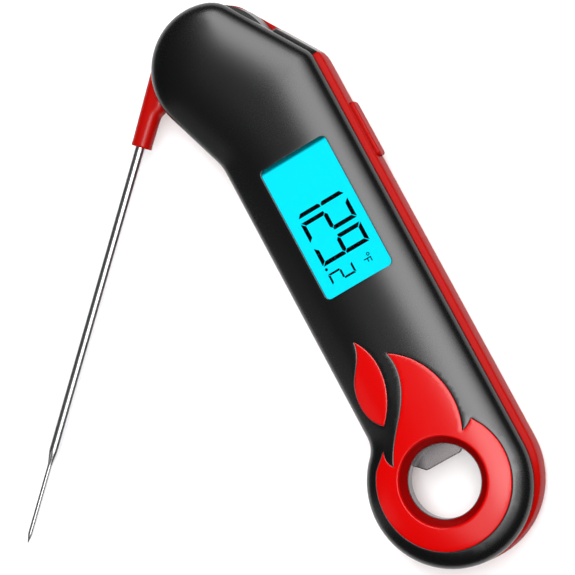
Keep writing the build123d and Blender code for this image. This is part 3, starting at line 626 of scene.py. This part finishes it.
def blurred(field, sigma):
    """A field of heights smoothed by a bell curve, sigma grid steps wide."""
    k = np.arange(-3 * sigma, 3 * sigma + 1)
    w = np.exp(-(k**2) / (2 * sigma**2))
    w /= w.sum()

    def softened(row):
        return np.convolve(np.pad(row, len(k) // 2, "edge"), w, "valid")

    for axis in (0, 1):
        field = np.apply_along_axis(softened, axis, field)
    return field


GRID_STEP = 0.5
grid_low = FRONT.min(0) - 6
grid_n = np.ceil((FRONT.max(0) + 6 - grid_low) / GRID_STEP).astype(int)
grid_lines = [grid_low[k] + GRID_STEP * np.arange(grid_n[k]) for k in (0, 1)]
grid_x, grid_y = np.meshgrid(*grid_lines, indexing="ij")
grid_points = np.stack([grid_x.ravel(), grid_y.ravel()], 1)
coarse = FRONT[::2]
signed = closest(grid_points, coarse)[0] * np.where(inside(grid_points, coarse), 1, -1)
soft = blurred(signed.reshape(grid_x.shape), 6)


def crown(xy):
    """Height of the front face over a point."""
    d = closest(xy, FRONT)[0]
    f = np.clip((xy - grid_low) / GRID_STEP, 0, grid_n - 1.001)
    i = f.astype(int)
    u, v = (f - i).T
    i, j = i.T
    b = soft[i, j] * (1 - u) * (1 - v) + soft[i + 1, j] * u * (1 - v)
    b += soft[i, j + 1] * (1 - u) * v + soft[i + 1, j + 1] * u * v
    s = np.clip((d - BAND[-1]) / 6, 0, 1)
    s = s * s * (3 - 2 * s)
    return arch(d * (1 - s) + b * s)


def eased(xy, loops):
    """The face with its edges eased towards some loops, each given with a width and a drop."""
    z = crown(xy)
    for loop, width, drop in loops:
        z = z - drop * np.clip(1 - closest(xy, loop)[0] / width, 0, 1) ** 2
    return z


GAP = 0.03
FLAME_HOLE, FLAME_EDGE = FLAME - GAP * inward(FLAME), FLAME + GAP * inward(FLAME)
LEAF_HOLE, LEAF_EDGE = LEAF - GAP * inward(LEAF), LEAF + GAP * inward(LEAF)
HOLE_R, SEAT_R = 9.8, mm_box("hole_collar")[1][0]
BORE = circle(0, 0, 13.0)
band = [FRONT + d * inward(FRONT) for d in BAND]


def cover_top(xy):
    return eased(xy, [(FLAME_HOLE, 0.3, 0.1), (LEAF_HOLE, 0.3, 0.1), (WINDOW, 0.2, 0.06)])


def pocket(xy):
    return crown(xy) - 0.95


def ceiling(xy):
    """Roof of the hollow, kept under the crowned face."""
    return np.minimum(CAVE_TOP, crown(xy) - 0.5)


cover = Shell()
cover.rings([np.column_stack([loop, arch(np.full(len(loop), d))]) for loop, d in zip(band[:-1], BAND)]
            + [np.column_stack([band[-1], cover_top(band[-1])])])
cover.sheet(
    fill(
        band[-1], [WINDOW, FLAME_HOLE, LEAF_HOLE], 0.9,
        [(WINDOW, (0.08, 0.2), -1), (FLAME_HOLE, (0.1, 0.3), -1), (LEAF_HOLE, (0.1, 0.3), -1)],
    ),
    cover_top,
)
seam_in = FRONT + 0.12 * inward(FRONT)
cover.rings([
    np.column_stack([loop, np.full(len(loop), z)])
    for loop, z in ((FRONT, RIM_Z), (FRONT, SEAM + 0.2), (seam_in, SEAM + 0.12), (seam_in, SEAM))
])
cover.wall(FLAME_HOLE, pocket, cover_top).sheet(fill(FLAME_HOLE, [BORE], 1.5), pocket)
cover.wall(LEAF_HOLE, pocket, cover_top).sheet(fill(LEAF_HOLE, [], 1.5), pocket)
cover.wall(BORE, RIM_LOW, pocket)
SEAT = circle(0, 0, SEAT_R)
cover.sheet(fill(BORE, [SEAT], 0), RIM_LOW).wall(SEAT, SEAM, RIM_LOW)
cover.wall(WINDOW, LENS_TOP, cover_top).sheet(fill(LENS_EDGE, [WINDOW], 0), LENS_TOP)
cover.wall(LENS_EDGE, CAVE_TOP, LENS_TOP).sheet(fill(CAVE, [LENS_EDGE], 1.2), ceiling)
cover.wall(CAVE, SEAM, ceiling).sheet(fill(seam_in, [CAVE, SEAT], 0), SEAM)
# the skirt that closes the shoulder beside the head
skirt = smooth(section("front_cover", 8.0)[0], 0.4)
skirt_top = pulled(skirt, seam_in)
levels = [(0.0, 4.4), (0.0, 10.75), (0.04, 10.95), (0.12, 11.1), (1.0, SEAM - 0.02), (1.0, SEAM + 0.02)]
cover.rings([
    np.column_stack([skirt * (1 - t) + skirt_top * t, np.full(len(skirt), z)]) for t, z in levels
])
cover.sheet(fill(skirt, step=0), 4.4).sheet(fill(skirt_top, step=0), SEAM + 0.02)
dress(show(cover.mesh("cover"), "front_cover_face"), "housing", BLACK, ["front_cover"])

# ---- flame inlays ---------------------------------------------------------------------------
RIM_OUT, RIM_IN = 12.3, HOLE_R + 0.2


def inlay_top(xy):
    return eased(xy, [(FLAME_EDGE, 0.3, 0.1)])


def leaf_face(xy):
    return eased(xy, [(LEAF_EDGE, 0.3, 0.1)])


def inlay_floor(xy):
    return crown(xy) - 0.9


rim_loop = circle(0, 0, RIM_OUT, 160)
inlay = Shell()
rows = [(FLAME_EDGE, (0.1, 0.3), 1), (rim_loop, (0.4,), -1)]
inlay.sheet(fill(FLAME_EDGE, [rim_loop], 0.8, rows), inlay_top)
rim_z = inlay_top(rim_loop)
slope = [
    (0.0, 0.0), (0.1, 0.02), (0.2, 0.07), (0.28, 0.15), (0.35, 0.24),
    (1.15, 1.04), (1.95, 1.84), (2.1, 2.02), (2.22, 2.18), (2.28, 2.28),
]
rings = [np.column_stack([circle(0, 0, RIM_OUT - a, 160), rim_z - b]) for a, b in slope]
rings.append(np.column_stack([circle(0, 0, RIM_IN, 160), np.full(160, RIM_LOW)]))
inlay.rings(rings)
under = circle(0, 0, 12.95, 160)
inlay.sheet(fill(under, [circle(0, 0, RIM_IN, 160)], 0), RIM_LOW)
inlay.wall(under, RIM_LOW, inlay_floor).sheet(fill(FLAME_EDGE, [under], 1.5), inlay_floor)
inlay.wall(FLAME_EDGE, inlay_floor, inlay_top)
dress(show(inlay.mesh("inlay"), "flame_inlay_face"), "housing", INLAY, ["flame_inlay"])

leaf = Shell()
leaf.sheet(fill(LEAF_EDGE, [], 0.8, [(LEAF_EDGE, (0.1, 0.3), 1)]), leaf_face)
leaf.sheet(fill(LEAF_EDGE, [], 1.5), inlay_floor).wall(LEAF_EDGE, inlay_floor, leaf_face)
dress(show(leaf.mesh("leaf"), "flame_leaf_face"), "housing", INLAY, ["flame_leaf"])

# ---- rear cover -----------------------------------------------------------------------------
EDGE_IN, EDGE_UP = 4.6, 5.6
GROOVE_LOW, GROOVE_HIGH, TIP_WALL, TUBE_WALL = 6.4, 10, -17.5, -16.8
RECESS_R, PLATE_R, DOOR_R, SCREW_HEAD_R, SCREW_R = 13.5, 17.3, 12.48, 2.2, 1.1
OUTSIDE = 30
drawn = pulled(BACK, FRONT)
drawn_in = pulled(BACK, seam_in)
back_in = inward(BACK)
rings = [np.column_stack([drawn_in, np.full(len(BACK), z)]) for z in (SEAM, SEAM - 0.12)]
for t, z in ((1.0, 11.8), (0.3, 11.26), (0.14, 11.12), (0.05, 11.0), (0.0, 10.8), (0.0, 8.0)):
    rings.append(np.column_stack([BACK * (1 - t) + drawn * t, np.full(len(BACK), z)]))
for k in range(11):
    s = math.radians(9 * k)
    loop = BACK + EDGE_IN * (1 - math.cos(s)) * back_in
    rings.append(np.column_stack([loop, np.full(len(BACK), EDGE_UP * (1 - math.sin(s)))]))
rear = Shell().rings(rings)
rear.sheet(fill(drawn_in, step=0), SEAM).sheet(fill(rings[-1][:, :2], step=0), 0.0)
hx, hy = HINGE[:2]
slot_low = mm_box("friction_washer")[0][2]
door_low, door_high = mm_box("battery_door")
door = (door_low + door_high)[:2] / 2
button_low, button_high = mm_box("side_button")
by = (button_low[1] + button_high[1]) / 2
bz = (button_low[2] + button_high[2]) / 2
side = mm_box("rear_cover")[1][0]
above = SEAM + 1
way = np.array([
    (hx, hy), (hx - 11.1, hy), (hx - 11.1, 105.0), (hx - 30, 105.0), (hx - 30, hy + 30), (hx + 30, hy + 30),
    (hx + 30, 127.4), (hx, 127.4),
])[::-1]


def box_shell(low, high):
    loop = np.array([(low[0], low[1]), (high[0], low[1]), (high[0], high[1]), (low[0], high[1])])
    return Shell().prism(loop, low[2], high[2])


def lying(loop_yz, x0, x1):
    """A prism along X from a loop in the YZ plane."""
    tool = Shell().prism(loop_yz, x0, x1)
    tool.verts = [(z, x, y) for x, y, z in tool.verts]
    return tool


screws = sorted({tuple(np.round(p.mean(0), 1)) for p in section("case_screws", 10.0)})
cutters = [
    Shell().prism(CAVE, 1.8, above),
    Shell().prism(circle(hx, hy, 17.7, 180), slot_low, above),
    Shell().prism(way, slot_low, above),
    box_shell((hx + 15, 116.0, slot_low), (hx + 40, 127.45, above)),
    Shell().prism(circle(0, 0, RECESS_R, 160), -1, above),
    Shell().prism(circle(0, 0, PLATE_R, 160), 10, above),
    box_shell((-OUTSIDE, -16, GROOVE_LOW), (TIP_WALL, 16, GROOVE_HIGH)),
    box_shell((-OUTSIDE, 8, GROOVE_LOW), (TUBE_WALL, 16, GROOVE_HIGH)),
    Shell().prism(circle(*door, DOOR_R, 160), -1, 2.2),
    lying(rounded(by, bz, 16.5, 5.3, 1.3), side - 2.1, side + 2),
    box_shell((side - 4.4, by - 9.6, bz - 3.9), (side - 2, by + 9.6, bz + 3.9)),
    Shell().prism(circle(hx, hy, 3.0, 64), -1, slot_low + 0.1),
]
cutters += [Shell().prism(circle(*s, SCREW_HEAD_R, 48), -1, 1.9) for s in screws]
cutters += [Shell().prism(circle(*s, SCREW_R, 32), 1, above) for s in screws]
back_shell = show(rear.mesh("rear"), "rear_cover_shell")
carve(back_shell, cutters)
dress(back_shell, "housing", RED, ["rear_cover"])

# ---- display --------------------------------------------------------------------------------
lens = Shell()
lens_in = [LENS_EDGE + d * inward(LENS_EDGE) for d in (0.0, 0.06, 0.15)]
heights = [(1, CAVE_TOP), (0, CAVE_TOP + 0.1), (0, LENS_TOP - 0.1), (1, LENS_TOP)]
lens.rings([np.column_stack([lens_in[k], np.full(len(LENS_EDGE), z)]) for k, z in heights])
lens.sheet(fill(lens_in[1], step=4), CAVE_TOP).sheet(fill(lens_in[1], step=4), LENS_TOP)
dress(show(lens.mesh("lens"), "display_window"), "housing", GLASS, ["display_lens"])

glass_low, glass_high = mm_box("lcd_glass")
face = rounded(*((glass_low + glass_high)[:2] / 2), *(glass_high - glass_low)[:2], 0.3)
face_in = face + 0.08 * inward(face)
screen = Shell()
screen.rings([
    np.column_stack([loop, np.full(len(face), z)])
    for loop, z in ((face, glass_low[2]), (face, LCD_TOP - 0.08), (face_in, LCD_TOP))
])
screen.sheet(fill(face, step=3), glass_low[2]).sheet(fill(face_in, step=3), LCD_TOP)
dress(show(screen.mesh("screen"), "display_face"), "housing", LIT, ["lcd_glass"])


def bars(w, h, t, g, which):
    """Outlines of the lit bars of one seven-bar figure, from its lower left corner."""
    m, k = h / 2, t / 2
    shapes = {
        "a": [(g + 0.1, h), (t + g, h - t), (w - t - g, h - t), (w - g - 0.1, h)],
        "d": [(g + 0.1, 0), (w - g - 0.1, 0), (w - t - g, t), (t + g, t)],
        "g": [
            (k + g, m), (t + g, m - k), (w - t - g, m - k),
            (w - k - g, m), (w - t - g, m + k), (t + g, m + k),
        ],
        "f": [(0, h - g - 0.1), (0, m + g + 0.1), (k, m + g), (t, m + k + g), (t, h - t - g)],
        "e": [(0, g + 0.1), (t, t + g), (t, m - k - g), (k, m - g), (0, m - g - 0.1)],
        "b": [(w, h - g - 0.1), (w - t, h - t - g), (w - t, m + k + g), (w - k, m + g), (w, m + g + 0.1)],
        "c": [(w, g + 0.1), (w, m - g - 0.1), (w - k, m - g), (w - t, m - k - g), (w - t, t + g)],
    }
    return [np.array(shapes[c]) for c in which]


def upright(shapes, x, y):
    """Places figures that read along -Y with their tops towards +X."""
    return [np.stack([x + s[:, 1], y - s[:, 0]], 1) for s in shapes]


F_STROKE = 0.3
marks = upright(bars(5.7, 14.7, 1.15, 0.1, "bc"), WIN[0] - 7.35, WIN[1] + 9.2)
marks += upright(bars(5.9, 14.7, 1.15, 0.1, "abged"), WIN[0] - 7.35, WIN[1] + 2.2)
marks += upright(bars(5.7, 14.7, 1.15, 0.1, "abcdfg"), WIN[0] - 7.35, WIN[1] - 5.1)
marks += upright(bars(3.2, 7.4, 0.58, 0.06, "abged"), WIN[0] - 7.3, WIN[1] - 13.1)
marks += [circle(WIN[0] - 6.95, WIN[1] - 11.8, 0.42, 20)]
letter = [
    (0, 0), (F_STROKE, 0), (F_STROKE, 0.85), (1.15, 0.85), (1.15, 1.15), (F_STROKE, 1.15), (F_STROKE, 1.8),
    (1.35, 1.8), (1.35, 2.1), (0, 2.1),
]
marks += upright([np.array(letter)], WIN[0] + 3.3, WIN[1] - 14.5)
figures = Shell()
for shape in marks:
    loop = shape if area(shape) > 0 else shape[::-1]
    figures.prism(loop, LCD_TOP + 0.001, LCD_TOP + 0.03)
ring_out = circle(WIN[0] + 5.0, WIN[1] - 13.7, 0.48, 32)
ring_in = circle(WIN[0] + 5.0, WIN[1] - 13.7, 0.24, 32)
for z in (LCD_TOP + 0.001, LCD_TOP + 0.03):
    figures.sheet(fill(ring_out, [ring_in], 0), z)
for loop in (ring_out, ring_in):
    figures.wall(loop, LCD_TOP + 0.001, LCD_TOP + 0.03)
dress(show(figures.mesh("figures", 1e-4), "display_figures"), "housing", MARK)

# ---- bottle opener, battery door --------------------------------------------------------------
opener = show(remade("opener_plate", 0.22, 3), "opener_plate_steel")
dress(opener, "housing", PLATE, ["opener_plate"])
lid = show(remade("battery_door", 0.18, 2), "battery_door_lid")
dress(lid, "door", RED, ["battery_door"])

# ---- probe ------------------------------------------------------------------------------------
tube_low, tube_high = mm_box("probe_tube")
heading = unit(tube_low[:2] - tube_high[:2])
across = np.array([-heading[1], heading[0]])
AXIS_Z = (tube_low[2] + tube_high[2]) / 2
ARM, SLEEVE_R, SLEEVE_END, HUB_R = 15.8, 2.75, 26.3, 17.35
TUBE_START, TUBE_R, TIP_R = 12.0, 1.55, 0.75


def hub_to_world(xy):
    return np.asarray([hx, hy]) + np.outer(xy[:, 0], heading) + np.outer(xy[:, 1], across)


def sleeve_half(xy):
    """Half thickness of the sleeve over a point given in hub coordinates."""
    d = np.clip(closest(xy, SLEEVE_SIDES)[0], 0, SLEEVE_R) / SLEEVE_R
    h = SLEEVE_R * np.sqrt(np.clip(1 - (1 - d) ** 2.3, 0, 1))
    ends = np.clip(1 - (SLEEVE_END - xy[:, 0]) / 0.5, 0, 1) ** 2
    return h * (1 - 0.13 * ends)


sides = [
    (-7.2, -15.84), (-4.0, -17.2), (-1.5, -18.2), (1.0, -18.7), (4.0, -18.78),
    (10.0, -18.7), (25.0, -18.4), (25.8, -18.45), (SLEEVE_END, -18.5),
]
lip = [
    (SLEEVE_END, -12.7), (25.8, -12.75), (25.0, -12.8), (17.6, -12.65), (16.8, -12.5),
    (16.2, -12.1), (15.6, -11.8), (14.6, -11.45), (13.2, -11.2), (12.8, -11.5),
]


def even_line(points, step):
    p = np.array(points, float)
    run = np.concatenate([[0], np.cumsum(np.linalg.norm(np.diff(p, axis=0), axis=1))])
    at = np.linspace(0, run[-1], max(2, round(run[-1] / step)) + 1)
    return np.stack([np.interp(at, run, p[:, k]) for k in (0, 1)], 1)


side_a, side_b = even_line(sides, 0.4), even_line(lip, 0.4)
end_line = even_line([sides[-1], lip[0]], 0.2)[1:-1]
start_angle, stop_angle = math.atan2(lip[-1][1], lip[-1][0]), math.atan2(sides[0][1], sides[0][0])
arc_angle = np.linspace(start_angle, stop_angle, 70)[1:-1]
arc = HUB_R * np.stack([np.cos(arc_angle), np.sin(arc_angle)], 1)
SLEEVE_LOOP = np.vstack([side_a, end_line, side_b, arc])
# far copies close the line of the sides without adding any side across the ends
SLEEVE_SIDES = np.vstack([[-60, -16], side_a, [60, -18.5], [60, -12.7], side_b, [-60, 60]])
if area(SLEEVE_LOOP) < 0:
    SLEEVE_LOOP = SLEEVE_LOOP[::-1]
skin = fill(SLEEVE_LOOP, [], 0.55, [(SLEEVE_LOOP, (0.03, 0.1, 0.22, 0.4, 0.65, 1.0), 1)])
sleeve = Shell()
half = sleeve_half(skin[0])
world = hub_to_world(skin[0])
sleeve.add(np.column_stack([world, AXIS_Z + half]), skin[1])
sleeve.add(np.column_stack([world, AXIS_Z - half]), skin[1])
rim = np.vstack([side_a[-1:], end_line, side_b[:1]])
for line in (rim, np.vstack([side_b[-1:], arc, side_a[:1]])):
    half = sleeve_half(line)
    world = hub_to_world(line)
    both = np.vstack([np.column_stack([world, AXIS_Z + half]), np.column_stack([world, AXIS_Z - half])])
    n = len(line)
    sleeve.add(both, [(i, i + 1, n + i + 1, n + i) for i in range(n - 1)])
grip = show(sleeve.mesh("sleeve", 9e-3), "probe_sleeve_grip", 40)
dress(grip, "probe", SLEEVE, ["probe_sleeve"])

start = hub_to_world(np.array([[TUBE_START, -ARM]]))[0]
reach = np.linalg.norm(tube_low[:2] - start)
profile = [
    (0.0, 0.0), (0.0, TUBE_R), (reach - 27.4, TUBE_R), (reach - 26.8, 1.52), (reach - 25.6, 1.3),
    (reach - 23.8, 0.92), (reach - 23.0, 0.79), (reach - 22.2, TIP_R), (reach - 3.2, TIP_R),
    (reach - 2.5, 0.7), (reach - 1.2, 0.4), (reach - 0.3, 0.14), (reach - 0.06, 0.05), (reach, 0.0),
]
turn = np.arange(56) * 2 * math.pi / 56
tube = Shell()
tube_rings = []
for s, r in profile:
    ring = start + s * heading + np.outer(r * np.cos(turn), across)
    tube_rings.append(np.column_stack([ring, AXIS_Z + r * np.sin(turn)]))
tube.rings(tube_rings)
dress(show(tube.mesh("tube"), "probe_tube_steel"), "probe", TUBE, ["probe_tube"])

# ---- floor, lights and camera -------------------------------------------------------------------
FLOOR_R, FLOOR_DEPTH = 3000, 20
floor_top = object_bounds()[0].z / MM - 1
floor_mesh = Shell().prism(circle(0, 60, FLOOR_R), floor_top - FLOOR_DEPTH, floor_top).mesh("floor")
floor = show(floor_mesh, "floor")
floor.data.materials.append(FLOOR)


def softbox(name, place, aim, size, power):
    """A white rectangular light at a place, turned towards its aim."""
    data = bpy.data.lights.new(name, "AREA")
    data.shape, data.size, data.size_y = "RECTANGLE", *size
    data.energy = power
    obj = bpy.data.objects.new(name, data)
    obj.location = place
    obj.rotation_euler = (Vector(aim) - Vector(place)).to_track_quat("-Z", "Y").to_euler()
    bpy.context.scene.collection.objects.link(obj)


softbox("key", (0.29, 0.65, 1.05), (0.29, 0.65, 0.0), (0.64, 1.9), 27.0)
softbox("key_edge", (0.86, 0.65, 1.05), (0.86, 0.65, 0.0), (0.5, 1.9), 7.0)
softbox("left_strip", (-1.0, 0.1, 0.45), (0.0, 0.06, 0.0), (0.25, 1.2), 0.5)
softbox("probe_light", (0.03, -0.3, 1.0), (-0.06, 0.08, 0.0), (0.7, 0.7), 4.5)
world = bpy.data.worlds.new("studio")
world.use_nodes = True
world.node_tree.nodes["Background"].inputs["Color"].default_value = (1, 1, 1, 1)
world.node_tree.nodes["Background"].inputs["Strength"].default_value = 0.05
bpy.context.scene.world = world

camera = bpy.data.objects.new("camera", bpy.data.cameras.new("camera"))
right, down = Vector((0.82755, -0.46610, -0.31291)), Vector((-0.48773, -0.87293, 0.01041))
toward = right.cross(-down).normalized()
turned = Matrix((right, -down, toward)).transposed()
camera.matrix_world = Matrix.Translation((0.18199, -0.03605, 0.68081)) @ turned.to_4x4()
camera.data.sensor_width, camera.data.lens = 36.0, 165.7
camera.data.clip_start, camera.data.clip_end = 0.05, 20.0
bpy.context.scene.collection.objects.link(camera)
bpy.context.scene.camera = camera
bpy.context.scene.view_settings.view_transform = "Standard"
